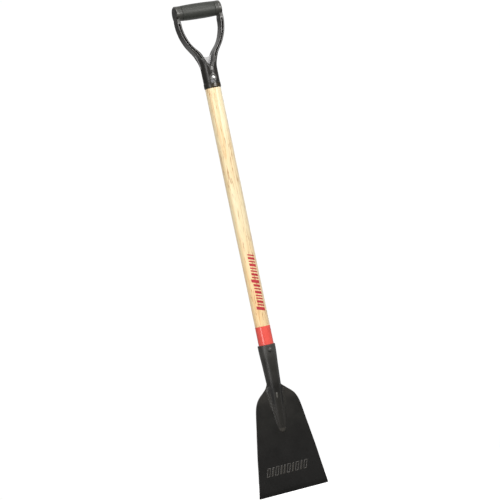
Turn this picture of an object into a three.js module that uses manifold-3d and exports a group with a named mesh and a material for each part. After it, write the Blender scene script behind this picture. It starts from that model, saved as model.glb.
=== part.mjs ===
// Long-handled roofing shovel: flat steel blade, forged and welded shank with a
// tapered socket, straight ash shaft, moulded yoke with a D-grip.
// Millimetres, +Z up the shaft, -Y is the front (the side the shank lies on),
// +X to the right seen from the front. The tool hangs on a hook by its crossbar:
// the origin is the middle of the crossbar's underside, where the hook bears.
// Heights below are counted from a base line 4.3 mm above the cutting edge, and
// the whole group is lowered at the end so that the hook's point comes to the
// origin. The head (blade and socket) leans back a little below the shaft.

import * as THREE from 'three';
import { mergeVertices } from 'three/addons/utils/BufferGeometryUtils.js';
import Module from 'manifold-3d';

const wasm = await Module();
wasm.setup();

// ---------------------------------------------------------------- dimensions
const GAP = 0.3;                 // clearance kept between touching pieces

// blade: half widths up its height, 181 mm (7 1/8 in) wide at the cutting edge
const EDGE_Z = -4.3;             // height of the cutting edge
const BLADE_T = 4.0;             // plate thickness
const BLADE_TOP = 254;           // top of the plate
const LEAN_FROM = 353.5, LEAN_Y = 0.5, LEAN = 0.0425;  // middle plane of the head: y at the mouth, and its slope
const BEVEL_H = 11;              // height of the ground bevel on the front
const EDGE_LAND = 1.2;           // thickness left at the cutting edge
const BLADE_HALF = [
  [-4.3, 90.0], [-2.8, 90.3], [2, 89.55], [13, 87.6], [27, 85.3], [42, 83.1], [56, 80.95], [70, 79.05],
  [85, 77.1], [99, 74.9], [113, 72.6], [128, 70.1], [142, 67.9], [156, 65.35],
  [171, 63.0], [185, 60.8], [199, 58.3], [208, 56.3], [214, 54.3], [221, 51.2],
  [228, 47.0], [235, 40.4], [242, 31.8], [248, 25.2], [254, 18.0],
];

// shank: socket cone above the plate, tang below it on the plate's front
const SOCKET_OUT = [[353.5, 20.9], [352, 21.3], [338, 21.15], [325, 20.5], [309, 19.4], [292, 18.7], [276, 17.95], [262, 17.35]];
const SOCKET_TOP = 353.5;
const SOCKET_BORE_TOP = 18.0;    // bore radius at z 352
const SOCKET_BORE_END = 13.0;    // bore radius at the bottom of the socket
const SOCKET_BOTTOM = 267.5;
const BORE_STRAIGHT = 350;       // below this the bore and the shaft's taper lean with the head
const TANG = [                   // z, half width, height over the plate front, height over the plate back
  [250, 17.0, 14.6, 13.0], [240, 16.2, 13.9, 10.4], [225, 14.9, 12.4, 7.0], [212, 13.8, 10.8, 4.3],
  [203, 13.1, 9.7, 2.4], [199, 12.8, 9.2, -1.5], [185, 11.8, 7.4, -1.5], [170, 10.8, 5.8, -1.5],
  [156, 10.0, 4.4, -1.5], [149, 9.1, 3.7, -1.5], [145, 7.6, 3.2, -1.5], [142, 5.2, 2.7, -1.5], [141, 3.2, 2.3, -1.5],
];

// shaft
const SHAFT_OUT = [[398.7, 18.1], [480, 18.1], [560, 18.2], [620, 18.55], [680, 18.9], [760, 19.05], [860, 19.05], [979.5, 19.05]];
const BAND_BOTTOM = 353.8, BAND_TOP = 398.4, BAND_R = 18.3, BAND_SEAT_R = 17.4;
const TENON_TOP = 1026, TENON_R = 16.0;

// yoke
const FERRULE_BOTTOM = 980;
const FERRULE = [[980, 20.1], [982, 20.4], [990.2, 20.4], [992.6, 19.75], [1031, 19.9]];
const YOKE_HALF_OUT = [           // outer half width of the two arms
  [1010, 19.65], [1031, 19.95], [1038, 20.8], [1045, 21.9], [1052, 23.4], [1060, 26.4], [1067, 30.8], [1074, 35.7],
  [1081, 40.6], [1088, 45.0], [1096, 48.8], [1103, 51.8], [1110, 54.3], [1117, 56.1], [1124, 57.6], [1131, 58.8],
  [1140, 59.5], [1147, 59.6], [1153, 59.3], [1158, 58.9], [1190, 58.7],
];
const YOKE_HALF_IN = [            // inner half width
  [1034, 0.0], [1035.2, 2.4], [1038.5, 4.7], [1044, 7.3], [1051, 9.9], [1057, 12.0], [1062, 14.1], [1069, 18.5],
  [1075, 23.5], [1083, 30.5], [1092, 36.3], [1100, 40.0], [1108, 43.1], [1117, 45.8], [1125, 47.6], [1133, 48.5],
  [1141, 48.7], [1146, 49.2], [1150, 50.2], [1200, 50.2],
];
const YOKE_DEPTH = [              // half depth, front to back
  [1008, 25], [1020, 19.9], [1031, 19.2], [1040, 17.7], [1050, 16.0], [1062, 14.6], [1074, 13.5], [1095, 12.8], [1120, 12.5], [1148, 12.5],
];
const YOKE_ROUND = [              // round envelope that blends the arms into the ferrule
  [1008, 19.7], [1031, 20.1], [1038, 21.4], [1045, 23.4], [1052, 26.0], [1060, 30.2], [1067, 35.0], [1074, 41.5], [1080, 50], [1084, 90], [1192, 90],
];
const GRIP_Z = 1168;             // axis of the crossbar
const EYE_R = 18.2;
const BOSS_R = 17.9, BOSS_FROM = 42.0;  // round boss inside each eye, facing the sleeve
const GROOVE_W = 1.9, GROOVE_D = 8;
const WEB_HALF_T = 1.75;         // gusset web between the roots of the arms
const WEB_OUTLINE = [[-19, 1031], [19, 1031], [17, 1061.5], [12, 1058.8], [6, 1056.6], [0, 1055.2], [-6, 1056.6], [-12, 1058.8], [-17, 1061.5]];

// crossbar
const SLEEVE_R = 19.1, SLEEVE_END_R = 18.0, SLEEVE_BORE = 11.4, SLEEVE_HALF = 41.7;  // a slight barrel
const CORE_R = 11.0, CORE_BORE = 4.7, CORE_HALF = 41.5;
const ROD_R = 4.3, ROD_HALF = 56.4;
const CAP_R = 7.2, CAP_SEAT_R = 7.6, CAP_SEAT_X = 56.6;

// rivets
const SOCKET_RIVET_Z = 341.5, FERRULE_RIVET_Z = 1003;
const RIVET_R = 2.5, RIVET_HEAD_R = 5.5;

// --------------------------------------------------------------------- tools
const lerpTable = (table, z) => {
  const t = table[0][0] > table[table.length - 1][0] ? [...table].reverse() : table;
  if (z <= t[0][0]) return t[0].slice(1);
  for (let i = 1; i < t.length; i++) {
    if (z <= t[i][0]) {
      const k = (z - t[i - 1][0]) / (t[i][0] - t[i - 1][0]);
      return t[i].slice(1).map((v, j) => t[i - 1][j + 1] + k * (v - t[i - 1][j + 1]));
    }
  }
  return t[t.length - 1].slice(1);
};
const bladeY = (z) => LEAN_Y + LEAN * (LEAN_FROM - z);
const boreY = (z) => LEAN * Math.max(0, BORE_STRAIGHT - z);

function solid(geometry) {
  const g = geometry.clone();
  g.deleteAttribute('normal');
  if (g.attributes.uv) g.deleteAttribute('uv');
  const m = mergeVertices(g, 1e-4);
  return new wasm.Manifold(new wasm.Mesh({
    numProp: 3,
    vertProperties: new Float32Array(m.attributes.position.array),
    triVerts: new Uint32Array(m.index.array),
  }));
}
function geometryOf(manifold) {
  const mesh = manifold.getMesh();
  const g = new THREE.BufferGeometry();
  g.setAttribute('position', new THREE.BufferAttribute(new Float32Array(mesh.vertProperties), 3));
  g.setIndex(new THREE.BufferAttribute(new Uint32Array(mesh.triVerts), 1));
  return g;
}
// outline in X and Z, extruded between two depths
function slabXZ(points, y0, y1) {
  const s = new THREE.Shape(points.map(([x, z]) => new THREE.Vector2(x, z)));
  const g = new THREE.ExtrudeGeometry(s, { depth: y1 - y0, bevelEnabled: false });
  g.rotateX(Math.PI / 2);          // (x, y, d) -> (x, -d, y)
  g.translate(0, y1, 0);
  return g;
}
// profile in Y and Z, extruded between two X positions
function slabYZ(points, x0, x1) {
  const s = new THREE.Shape(points.map(([y, z]) => new THREE.Vector2(y, z)));
  const g = new THREE.ExtrudeGeometry(s, { depth: x1 - x0, bevelEnabled: false });
  g.rotateX(Math.PI / 2);
  g.rotateZ(Math.PI / 2);
  g.translate(x0, 0, 0);
  return g;
}
// profile of [z, radius] pairs turned about the Z axis
function turned(profile, segments = 48) {
  const pts = profile.map(([z, r]) => new THREE.Vector2(r, z));
  const g = new THREE.LatheGeometry(pts, segments);
  g.rotateX(Math.PI / 2);
  return g;
}
function capped(profile, segments = 48) {
  const p = [...profile].sort((a, b) => a[0] - b[0]);
  return turned([[p[0][0], 0], ...p, [p[p.length - 1][0], 0]], segments);
}
// closed ring between an outer and an inner radius
function ring(z0, z1, rOut, rIn, segments = 48) {
  return turned([[z0, rIn], [z0, rOut], [z1, rOut], [z1, rIn], [z0, rIn]], segments);
}
function alongX(g) { g.rotateY(Math.PI / 2); return g; }
function alongY(g) { g.rotateX(-Math.PI / 2); return g; }
// closed body through rings of equal length, with a point in the middle of each end
function loft(rings) {
  const n = rings[0].length;
  const pos = [];
  rings.forEach((r) => r.forEach((p) => pos.push(...p)));
  const centre = (r) => r.reduce((a, p) => [a[0] + p[0] / n, a[1] + p[1] / n, a[2] + p[2] / n], [0, 0, 0]);
  pos.push(...centre(rings[0]), ...centre(rings[rings.length - 1]));
  const c0 = rings.length * n, c1 = c0 + 1, idx = [];
  for (let i = 0; i < rings.length - 1; i++) {
    for (let j = 0; j < n; j++) {
      const a = i * n + j, b = i * n + (j + 1) % n, c = a + n, d = b + n;
      idx.push(a, b, d, a, d, c);
    }
  }
  for (let j = 0; j < n; j++) {
    idx.push(c0, (j + 1) % n, j);
    const k = (rings.length - 1) * n;
    idx.push(c1, k + j, k + (j + 1) % n);
  }
  const g = new THREE.BufferGeometry();
  g.setAttribute('position', new THREE.BufferAttribute(new Float32Array(pos), 3));
  g.setIndex(idx);
  return outward(g);
}
function outward(g) {
  const p = g.attributes.position, ix = g.index;
  let v = 0;
  const A = new THREE.Vector3(), B = new THREE.Vector3(), C = new THREE.Vector3();
  for (let i = 0; i < ix.count; i += 3) {
    A.fromBufferAttribute(p, ix.getX(i)); B.fromBufferAttribute(p, ix.getX(i + 1)); C.fromBufferAttribute(p, ix.getX(i + 2));
    v += A.dot(B.cross(C));
  }
  if (v < 0) for (let i = 0; i < ix.count; i += 3) { const t = ix.getX(i + 1); ix.setX(i + 1, ix.getX(i + 2)); ix.setX(i + 2, t); }
  return g;
}

const shovel = new THREE.Group();
shovel.name = 'shovel';
function add(name, manifoldOrGeometry, color, roughness, metalness) {
  const g = manifoldOrGeometry.getMesh ? geometryOf(manifoldOrGeometry) : manifoldOrGeometry;
  g.computeVertexNormals();
  const mesh = new THREE.Mesh(g, new THREE.MeshStandardMaterial({ color, roughness, metalness, flatShading: true }));
  mesh.name = name;
  shovel.add(mesh);
  return mesh;
}
const BLACK_STEEL = 0x2b2927, BLACK_PLASTIC = 0x2a2b29, GRIP_GREY = 0x4c4d4a, ASH = 0xdcb983, RED = 0xd8332c, BRIGHT = 0xb9bbbb;

// --------------------------------------------------------------------- blade
{
  const right = BLADE_HALF.map(([z, w]) => [w, z]);
  const left = BLADE_HALF.map(([z, w]) => [-w, z]).reverse();
  const outline = solid(slabXZ([...right, ...left], -10, 30));
  const yb = (z) => bladeY(z) + BLADE_T / 2, yf = (z) => bladeY(z) - BLADE_T / 2;
  const section = solid(slabYZ([
    [yb(EDGE_Z), EDGE_Z], [yb(BLADE_TOP), BLADE_TOP], [yf(BLADE_TOP), BLADE_TOP],
    [yf(EDGE_Z + BEVEL_H), EDGE_Z + BEVEL_H], [yb(EDGE_Z) - EDGE_LAND, EDGE_Z],
  ], -100, 100));
  add('blade_plate', outline.intersect(section), BLACK_STEEL, 0.45, 0.6);
}

// --------------------------------------------------------------------- shank
const SEG = 40;
function tangRing(z) {
  const [w, hf, hb] = lerpTable(TANG, z);
  const yc = bladeY(z), af = hf + BLADE_T / 2, ab = hb + BLADE_T / 2, r = [];
  for (let j = 0; j < SEG; j++) {
    const a = (j / SEG) * Math.PI * 2, s = Math.sin(a);
    r.push([w * Math.cos(a), yc + (s < 0 ? af : ab) * s, z]);
  }
  return r;
}
function roundRing(z, radius, y = 0, n = SEG) {
  const r = [];
  for (let j = 0; j < n; j++) { const a = (j / n) * Math.PI * 2; r.push([radius * Math.cos(a), y + radius * Math.sin(a), z]); }
  return r;
}
const boreSlope = (SOCKET_BORE_TOP - SOCKET_BORE_END) / (352 - SOCKET_BOTTOM);
const boreR = (z) => SOCKET_BORE_END + boreSlope * (z - SOCKET_BOTTOM);
{
  const rings = SOCKET_OUT.map(([z, r]) => roundRing(z, r, bladeY(z)));
  TANG.forEach(([z]) => rings.push(tangRing(z)));
  let body = solid(loft(rings));
  body = body.subtract(solid(loft([SOCKET_BOTTOM, BORE_STRAIGHT, SOCKET_TOP + 1].map((z) => roundRing(z, boreR(z), boreY(z))))));
  const slot = solid(slabYZ([
    [bladeY(120) + 2 + GAP, 120], [bladeY(BLADE_TOP) + 2 + GAP, BLADE_TOP + GAP],
    [bladeY(BLADE_TOP) - 2 - GAP, BLADE_TOP + GAP], [bladeY(120) - 2 - GAP, 120],
  ], -60, 60));
  body = body.subtract(slot);
  const hole = alongY(capped([[-40, RIVET_R + GAP], [40, RIVET_R + GAP]], 24));
  hole.translate(0, 0, SOCKET_RIVET_Z);
  body = body.subtract(solid(hole));
  add('socket_shank', body, BLACK_STEEL, 0.45, 0.6);
}

// weld beads along both sides of the tang, and round the tongue on the back
function bead(path) {             // path: [x, z, outX, outZ, leg, side]; side -1 front, +1 back
  return loft(path.map(([x, z, ox, oz, leg, side]) => {
    const face = bladeY(z) + side * (BLADE_T / 2 + GAP);
    const top = face + side * leg;
    const mid = face + side * leg * 0.42;
    return [
      [x, face, z], [x + ox * leg, face, z + oz * leg],
      [x + ox * leg * 0.42, mid, z + oz * leg * 0.42], [x, top, z],
    ];
  }));
}
for (const [name, sx] of [['weld_left', -1], ['weld_right', 1]]) {
  const path = [[247, 6.2], [240, 6.0], [230, 5.0], [220, 4.3], [208, 3.8], [196, 3.3], [184, 2.9], [172, 2.5], [160, 2.2]]
    .map(([z, leg]) => [sx * (lerpTable(TANG, z)[0] + GAP), z, sx, 0, leg, -1]);
  add(name, bead(path), BLACK_STEEL, 0.55, 0.5);
}
{
  const legs = 4.2, path = [];
  const sides = [[246, 16.9], [236, 16.1], [226, 15.3], [216, 14.5], [208, 13.9]];
  sides.forEach(([z, w]) => path.push([-(w + GAP), z, -1, 0, legs, 1]));
  for (let k = 1; k < 8; k++) {
    const a = Math.PI + (k / 8) * Math.PI, c = Math.cos(a), s = Math.sin(a);
    path.push([(13.5 + GAP) * c, 205.6 + 6.0 * s, c * 0.9, s, legs, 1]);
  }
  [...sides].reverse().forEach(([z, w]) => path.push([w + GAP, z, 1, 0, legs, 1]));
  add('weld_back', bead(path), BLACK_STEEL, 0.55, 0.5);
}

// --------------------------------------------------------------------- rivets
function rivet(z, seatFront, seatBack) {
  // head on the front, shank, closed head on the back over a burr
  const back = seatBack + GAP + 1.2 + GAP, reach = seatFront + 3.6, tail = back + 1.9;
  const profile = [
    [-reach, 1.6], [-reach + 0.5, 3.4], [-reach + 1.2, 4.7], [-seatFront - GAP - 0.6, RIVET_HEAD_R], [-seatFront - GAP, RIVET_HEAD_R],
    [-seatFront - GAP + 0.001, RIVET_R], [back - 0.001, RIVET_R], [back, 4.2], [back + 0.5, 4.2], [tail - 0.4, 3.0], [tail, 1.6],
  ];
  const g = turned([[-reach, 0], ...profile, [tail, 0]], 28);
  alongY(g);
  g.translate(0, 0, z);
  return g;
}
function burr(z, seatBack) {
  const g = alongY(ring(seatBack + GAP, seatBack + GAP + 1.2, 6.2, RIVET_R + GAP, 28));
  g.translate(0, 0, z);
  return g;
}
const SOCKET_SEAT_FRONT = 20.2, SOCKET_SEAT_BACK = 22.2, FERRULE_SEAT = 19.8;
add('socket_rivet', rivet(SOCKET_RIVET_Z, SOCKET_SEAT_FRONT, SOCKET_SEAT_BACK), BLACK_STEEL, 0.4, 0.7);
add('socket_rivet_burr', burr(SOCKET_RIVET_Z, SOCKET_SEAT_BACK), BLACK_STEEL, 0.4, 0.7);
add('ferrule_rivet', rivet(FERRULE_RIVET_Z, FERRULE_SEAT, FERRULE_SEAT), BRIGHT, 0.25, 1.0);
add('ferrule_rivet_burr', burr(FERRULE_RIVET_Z, FERRULE_SEAT), BRIGHT, 0.3, 1.0);

// --------------------------------------------------------------------- shaft
{
  const taper = (z) => boreR(z) - GAP - 0.05, seat = BAND_SEAT_R - 0.15;
  const rows = [
    [SOCKET_BOTTOM + 1.5, taper(SOCKET_BOTTOM + 1.5)], [346.6, taper(346.6)],
    [346.7, seat], [BORE_STRAIGHT, seat], [398.65, seat],
    ...SHAFT_OUT, [979.55, TENON_R], [TENON_TOP, TENON_R],
  ];
  let body = solid(loft(rows.map(([z, r]) => roundRing(z, r, boreY(z), 48))));
  for (const z of [SOCKET_RIVET_Z, FERRULE_RIVET_Z]) {
    const hole = alongY(capped([[-40, RIVET_R + GAP], [40, RIVET_R + GAP]], 24));
    hole.translate(0, 0, z);
    body = body.subtract(solid(hole));
  }
  add('shaft', body, ASH, 0.35, 0.0);
}
add('red_band', ring(BAND_BOTTOM, BAND_TOP, BAND_R, BAND_SEAT_R + 0.15, 48), RED, 0.25, 0.0);

// ---------------------------------------------------------------------- yoke
{
  const mirror = (t) => [...t.map(([z, x]) => [x, z]), ...[...t].reverse().filter(([, x]) => x > 0).map(([z, x]) => [-x, z])];
  let body = solid(slabXZ(mirror(YOKE_HALF_OUT), -40, 40));
  const depth = [];
  YOKE_DEPTH.forEach(([z, h]) => depth.push([h, z]));
  const a0 = -Math.asin(Math.min(1, (GRIP_Z - 1154.4) / EYE_R));
  for (let k = 0; k <= 24; k++) {
    const a = a0 + (k / 24) * (Math.PI - 2 * a0);
    depth.push([EYE_R * Math.cos(a), GRIP_Z + EYE_R * Math.sin(a)]);
  }
  [...YOKE_DEPTH].reverse().forEach(([z, h]) => depth.push([-h, z]));
  body = body.intersect(solid(slabYZ(depth, -80, 80)));
  body = body.intersect(solid(capped(YOKE_ROUND, 64)));
  body = body.add(solid(capped(FERRULE, 64)));
  body = body.subtract(solid(slabXZ(mirror(YOKE_HALF_IN), -40, 40)));
  body = body.add(solid(slabXZ(WEB_OUTLINE, -WEB_HALF_T, WEB_HALF_T)));
  for (const sx of [-1, 1]) {
    const boss = alongX(capped([[BOSS_FROM, BOSS_R - 0.6], [BOSS_FROM + 0.6, BOSS_R], [56, BOSS_R]], 48));
    if (sx < 0) boss.rotateZ(Math.PI);
    boss.translate(0, 0, GRIP_Z);
    body = body.add(solid(boss));
  }
  // grooves down the front and the back of each arm
  const zs = [1058, 1064, 1070, 1076, 1082, 1088, 1096, 1104, 1112, 1120, 1128, 1136, 1143];
  const mid = zs.map((z) => [z, 0.52 * lerpTable(YOKE_HALF_OUT, z)[0] + 0.48 * lerpTable(YOKE_HALF_IN, z)[0]]);
  const offset = (side) => mid.map(([z, x], i) => {
    const a = mid[Math.max(0, i - 1)], b = mid[Math.min(mid.length - 1, i + 1)];
    const dx = b[1] - a[1], dz = b[0] - a[0], l = Math.hypot(dx, dz);
    return [x + side * (dz / l) * GROOVE_W / 2, z - side * (dx / l) * GROOVE_W / 2];
  });
  const strip = [...offset(1), ...offset(-1).reverse()];
  for (const sx of [-1, 1]) {
    const pts = strip.map(([x, z]) => [sx * x, z]);
    if (sx < 0) pts.reverse();
    body = body.subtract(solid(slabXZ(pts, 12.8 - GROOVE_D, 40)));
    body = body.subtract(solid(slabXZ(pts, -40, -(12.8 - GROOVE_D))));
  }
  // tenon bore, rivet hole, rod hole with a seat for a cap in each eye
  body = body.subtract(solid(capped([[FERRULE_BOTTOM - 2, TENON_R + 0.35], [TENON_TOP + 0.5, TENON_R + 0.35]], 48)));
  const hole = alongY(capped([[-40, RIVET_R + GAP], [40, RIVET_R + GAP]], 24));
  hole.translate(0, 0, FERRULE_RIVET_Z);
  body = body.subtract(solid(hole));
  const rod = alongX(capped([[-70, ROD_R + GAP], [70, ROD_R + GAP]], 28));
  rod.translate(0, 0, GRIP_Z);
  body = body.subtract(solid(rod));
  for (const sx of [-1, 1]) {
    const seat = alongX(capped([[CAP_SEAT_X, CAP_SEAT_R], [70, CAP_SEAT_R]], 28));
    if (sx < 0) seat.rotateZ(Math.PI);
    seat.translate(0, 0, GRIP_Z);
    body = body.subtract(solid(seat));
  }
  add('yoke', body, BLACK_PLASTIC, 0.3, 0.0);
}

// ------------------------------------------------------------------ crossbar
{
  const sleeve = alongX(turned([
    [-SLEEVE_HALF, SLEEVE_BORE], [-SLEEVE_HALF, SLEEVE_END_R - 0.8], [-SLEEVE_HALF + 0.8, SLEEVE_END_R],
    ...[-34, -24, -12, 0, 12, 24, 34].map((x) => [x, SLEEVE_R - (SLEEVE_R - SLEEVE_END_R) * (Math.abs(x) / SLEEVE_HALF) ** 2.5]),
    [SLEEVE_HALF - 0.8, SLEEVE_END_R], [SLEEVE_HALF, SLEEVE_END_R - 0.8], [SLEEVE_HALF, SLEEVE_BORE],
    [-SLEEVE_HALF, SLEEVE_BORE],
  ], 48));
  sleeve.translate(0, 0, GRIP_Z);
  add('grip_sleeve', sleeve, GRIP_GREY, 0.4, 0.0);
  const core = alongX(ring(-CORE_HALF, CORE_HALF, CORE_R, CORE_BORE, 32));
  core.translate(0, 0, GRIP_Z);
  add('grip_core', core, ASH, 0.6, 0.0);
  const rod = alongX(capped([[-ROD_HALF, ROD_R], [ROD_HALF, ROD_R]], 28));
  rod.translate(0, 0, GRIP_Z);
  add('grip_rod', rod, BRIGHT, 0.35, 1.0);
  for (const [name, sx] of [['grip_cap_left', -1], ['grip_cap_right', 1]]) {
    const w = alongX(capped([[CAP_SEAT_X + GAP, CAP_R], [58.2, CAP_R], [58.65, CAP_R - 0.8]], 28));
    if (sx < 0) w.rotateZ(Math.PI);
    w.translate(0, 0, GRIP_Z);
    add(name, w, BLACK_PLASTIC, 0.35, 0.0);
  }
}

shovel.position.set(0, 0, -(GRIP_Z - SLEEVE_R));

export default shovel;
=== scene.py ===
# Roofing shovel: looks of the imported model.
# Lengths are worked out in millimetres above a base line that lies 4.3 mm above
# the cutting edge and turned into metres in the model's frame by place().  Front is -Y, +X is to the right seen
# from the front, +Z runs up the shaft.
import math

import bpy
import numpy as np
from mathutils import Matrix, Vector

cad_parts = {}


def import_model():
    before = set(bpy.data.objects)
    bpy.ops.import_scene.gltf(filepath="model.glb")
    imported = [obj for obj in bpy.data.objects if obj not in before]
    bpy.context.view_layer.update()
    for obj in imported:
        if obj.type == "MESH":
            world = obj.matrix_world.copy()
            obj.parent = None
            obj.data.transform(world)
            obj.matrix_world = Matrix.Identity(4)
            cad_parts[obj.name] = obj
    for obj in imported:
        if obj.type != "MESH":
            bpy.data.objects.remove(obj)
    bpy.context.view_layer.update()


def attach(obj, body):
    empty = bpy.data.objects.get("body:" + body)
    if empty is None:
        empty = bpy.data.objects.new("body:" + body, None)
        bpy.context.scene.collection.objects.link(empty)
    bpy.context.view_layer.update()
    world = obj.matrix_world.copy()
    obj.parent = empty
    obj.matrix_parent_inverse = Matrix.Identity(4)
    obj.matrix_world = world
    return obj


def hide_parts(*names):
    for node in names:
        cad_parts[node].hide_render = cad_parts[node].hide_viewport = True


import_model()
DROP = 1148.9                      # the origin is this far above the base line


# ------------------------------------------------------------------ tables
BLADE_T, BLADE_TOP, BEVEL_H, EDGE_LAND = 4.0, 254.0, 11.0, 1.2
EDGE_Z = -4.3
BLADE_HALF = [
    (-4.3, 90.0), (-2.8, 90.3), (2, 89.55), (13, 87.6), (27, 85.3), (42, 83.1), (56, 80.95), (70, 79.05), (85, 77.1),
    (99, 74.9), (113, 72.6), (128, 70.1), (142, 67.9), (156, 65.35), (171, 63.0), (185, 60.8),
    (199, 58.3), (208, 56.3), (214, 54.3), (221, 51.2), (228, 47.0), (235, 40.4), (242, 31.8), (248, 25.2), (254, 18.0)]
SOCKET_OUT = [(262, 17.35), (276, 17.95), (292, 18.7), (309, 19.4), (325, 20.5), (338, 21.15), (350, 21.3), (353.5, 21.2)]
SOCKET_TOP = 353.5
TANG = [  # height, half width, height over the plate's front, and over its back
    (141, 3.2, 2.3, -1.5), (142, 5.2, 2.7, -1.5), (145, 7.6, 3.2, -1.5), (149, 9.1, 3.7, -1.5), (156, 10.0, 4.4, -1.5),
    (170, 10.8, 5.8, -1.5), (185, 11.8, 7.4, -1.5), (199, 12.8, 9.2, -1.5), (203, 13.1, 9.7, 2.4), (212, 13.8, 10.8, 4.3),
    (225, 14.9, 12.4, 7.0), (240, 16.2, 13.9, 10.4), (250, 17.0, 14.6, 13.0)]
SHAFT_OUT = [(398.7, 18.1), (480, 18.1), (560, 18.2), (620, 18.55), (680, 18.9), (760, 19.05), (860, 19.05), (979.5, 19.05)]
BAND = (353.75, 398.4, 18.3, 17.55)
FERRULE = [(980, 0), (980, 20.1), (981.6, 20.4), (990.4, 20.4), (992.4, 19.75), (1031, 19.9), (1034, 0)]
YOKE_OUT = [
    (1004, 19.65), (1010, 19.65), (1031, 19.95), (1038, 20.8), (1045, 21.9), (1052, 23.4), (1060, 26.4), (1067, 30.8), (1074, 35.7),
    (1081, 40.6), (1088, 45.0), (1096, 48.8), (1103, 51.8), (1110, 54.3), (1117, 56.1), (1124, 57.6), (1131, 58.8),
    (1140, 59.5), (1147, 59.6), (1153, 59.3), (1158, 58.9), (1195, 58.7)]
YOKE_IN = [
    (1034, 0.0), (1035.2, 2.6), (1038.5, 5.0), (1044, 7.8), (1051, 10.4), (1057, 12.3), (1062, 14.1), (1069, 18.3),
    (1075, 23.5), (1083, 30.5), (1092, 36.3), (1100, 40.0), (1108, 43.1), (1117, 45.8), (1125, 47.6), (1133, 48.5),
    (1141, 48.7), (1146, 49.2), (1150, 50.2), (1200, 50.2)]
YOKE_DEPTH = [
    (1004, 26), (1008, 25), (1020, 19.9), (1031, 19.2), (1040, 17.7), (1050, 16.0), (1062, 14.6), (1074, 13.5), (1095, 12.8), (1120, 12.5), (1148, 12.5)]
YOKE_ROUND = [
    (1000, 19.7), (1008, 19.7), (1031, 20.1), (1038, 21.4), (1045, 23.4), (1052, 26.0), (1060, 30.2), (1067, 35.0), (1074, 41.5), (1080, 50), (1084, 90), (1200, 90)]
GRIP_Z, EYE_R, SLEEVE_R, BOSS_R = 1168.0, 18.2, 19.1, 17.9
SOCKET_RIVET_Z, FERRULE_RIVET_Z = 341.5, 1003.0


def blade_y(z):
    """Middle of the plate and of the socket: the head leans back below the mouth."""
    return 0.5 + 0.0425 * (353.5 - z)


def bore_y(z):
    return 0.0425 * np.maximum(0, 350.0 - z)


def table(t, z, col=1):
    return np.interp(z, [r[0] for r in t], [r[col] for r in t])


def gauss(sigma, step):
    m = max(1, int(round(3 * sigma / step)))
    k = np.exp(-0.5 * (np.arange(-m, m + 1) * step / sigma) ** 2)
    return k / k.sum()


def eased(t, col=1, step=0.5, sigma=3.0):
    """A table as a smooth curve: the same rows, read finely and blurred along z."""
    z0, z1 = t[0][0], t[-1][0]
    z = np.arange(z0 - 4 * sigma, z1 + 4 * sigma + step, step)
    v = np.interp(z, [r[0] for r in t], [r[col] for r in t])
    lo_s = (t[1][col] - t[0][col]) / (t[1][0] - t[0][0])
    hi_s = (t[-1][col] - t[-2][col]) / (t[-1][0] - t[-2][0])
    v = np.where(z < z0, t[0][col] + (z - z0) * lo_s, v)
    v = np.where(z > z1, t[-1][col] + (z - z1) * hi_s, v)
    k = gauss(sigma, step)
    pad = len(k) // 2
    w = np.convolve(np.pad(v, pad, mode="edge"), k, mode="valid")
    keep = (z >= z0 - 1e-9) & (z <= z1 + 1e-9)
    zz, ww = z[keep], w[keep]
    return lambda q: np.interp(q, zz, ww)


def flow(points, step=1.5, sigma=1.5):
    """An open polyline, resampled and softened along its length, ends kept."""
    p = np.array(points, float)
    d = np.r_[0, np.cumsum(np.hypot(*(p[1:] - p[:-1]).T))]
    fine = 0.25
    s = np.arange(0, d[-1], fine)
    q = np.c_[np.interp(s, d, p[:, 0]), np.interp(s, d, p[:, 1])]
    if sigma > 0:
        k = gauss(sigma, fine)
        m = len(k) // 2
        a = 2 * q[0] - q[1:m + 1][::-1]
        b = 2 * q[-1] - q[-m - 1:-1][::-1]
        e = np.r_[a, q, b]
        q = np.c_[np.convolve(e[:, 0], k, "valid"), np.convolve(e[:, 1], k, "valid")][:len(q)]
    every = max(1, int(round(step / fine)))
    return np.r_[q[::every], p[-1:]]


class Plan:
    """Signed distance (inside is negative) to a closed outline, or plain distance to an open line, kept on a fine lattice."""

    def __init__(self, pts, lo, hi, h=0.5, closed=True):
        self.lo, self.h = np.array(lo, float), h
        u = np.arange(lo[0], hi[0] + h, h)
        v = np.arange(lo[1], hi[1] + h, h)
        U, V = np.meshgrid(u, v, indexing="ij")
        p = np.array(pts, float)
        q = np.roll(p, -1, 0) if closed else p[1:]
        a_all, b_all = (p, q) if closed else (p[:-1], q)
        best = np.full(U.shape, 1e18)
        inside = np.zeros(U.shape, bool)
        for a, b in zip(a_all, b_all):
            e = b - a
            l2 = e @ e
            if l2 < 1e-12:
                continue
            t = np.clip(((U - a[0]) * e[0] + (V - a[1]) * e[1]) / l2, 0, 1)
            d = (U - a[0] - t * e[0]) ** 2 + (V - a[1] - t * e[1]) ** 2
            np.minimum(best, d, out=best)
            if closed and (a[1] > 1e-12 + b[1] or b[1] > a[1] + 1e-12):
                rows = (v >= min(a[1], b[1])) & (v < max(a[1], b[1]))
                if rows.any():
                    xc = a[0] + (v[rows] - a[1]) / (b[1] - a[1]) * (b[0] - a[0])
                    inside[:, rows] ^= U[:, rows] < xc[None, :]
        d = np.sqrt(best)
        self.d = np.where(inside, -d, d) if closed else d

    def __call__(self, u, v):
        fu = np.clip((u - self.lo[0]) / self.h, 0, self.d.shape[0] - 1.001)
        fv = np.clip((v - self.lo[1]) / self.h, 0, self.d.shape[1] - 1.001)
        i, j = fu.astype(np.int32), fv.astype(np.int32)
        a, b = fu - i, fv - j
        D = self.d
        return (D[i, j] * (1 - a) * (1 - b) + D[i + 1, j] * a * (1 - b) + D[i, j + 1] * (1 - a) * b + D[i + 1, j + 1] * a * b)


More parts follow.
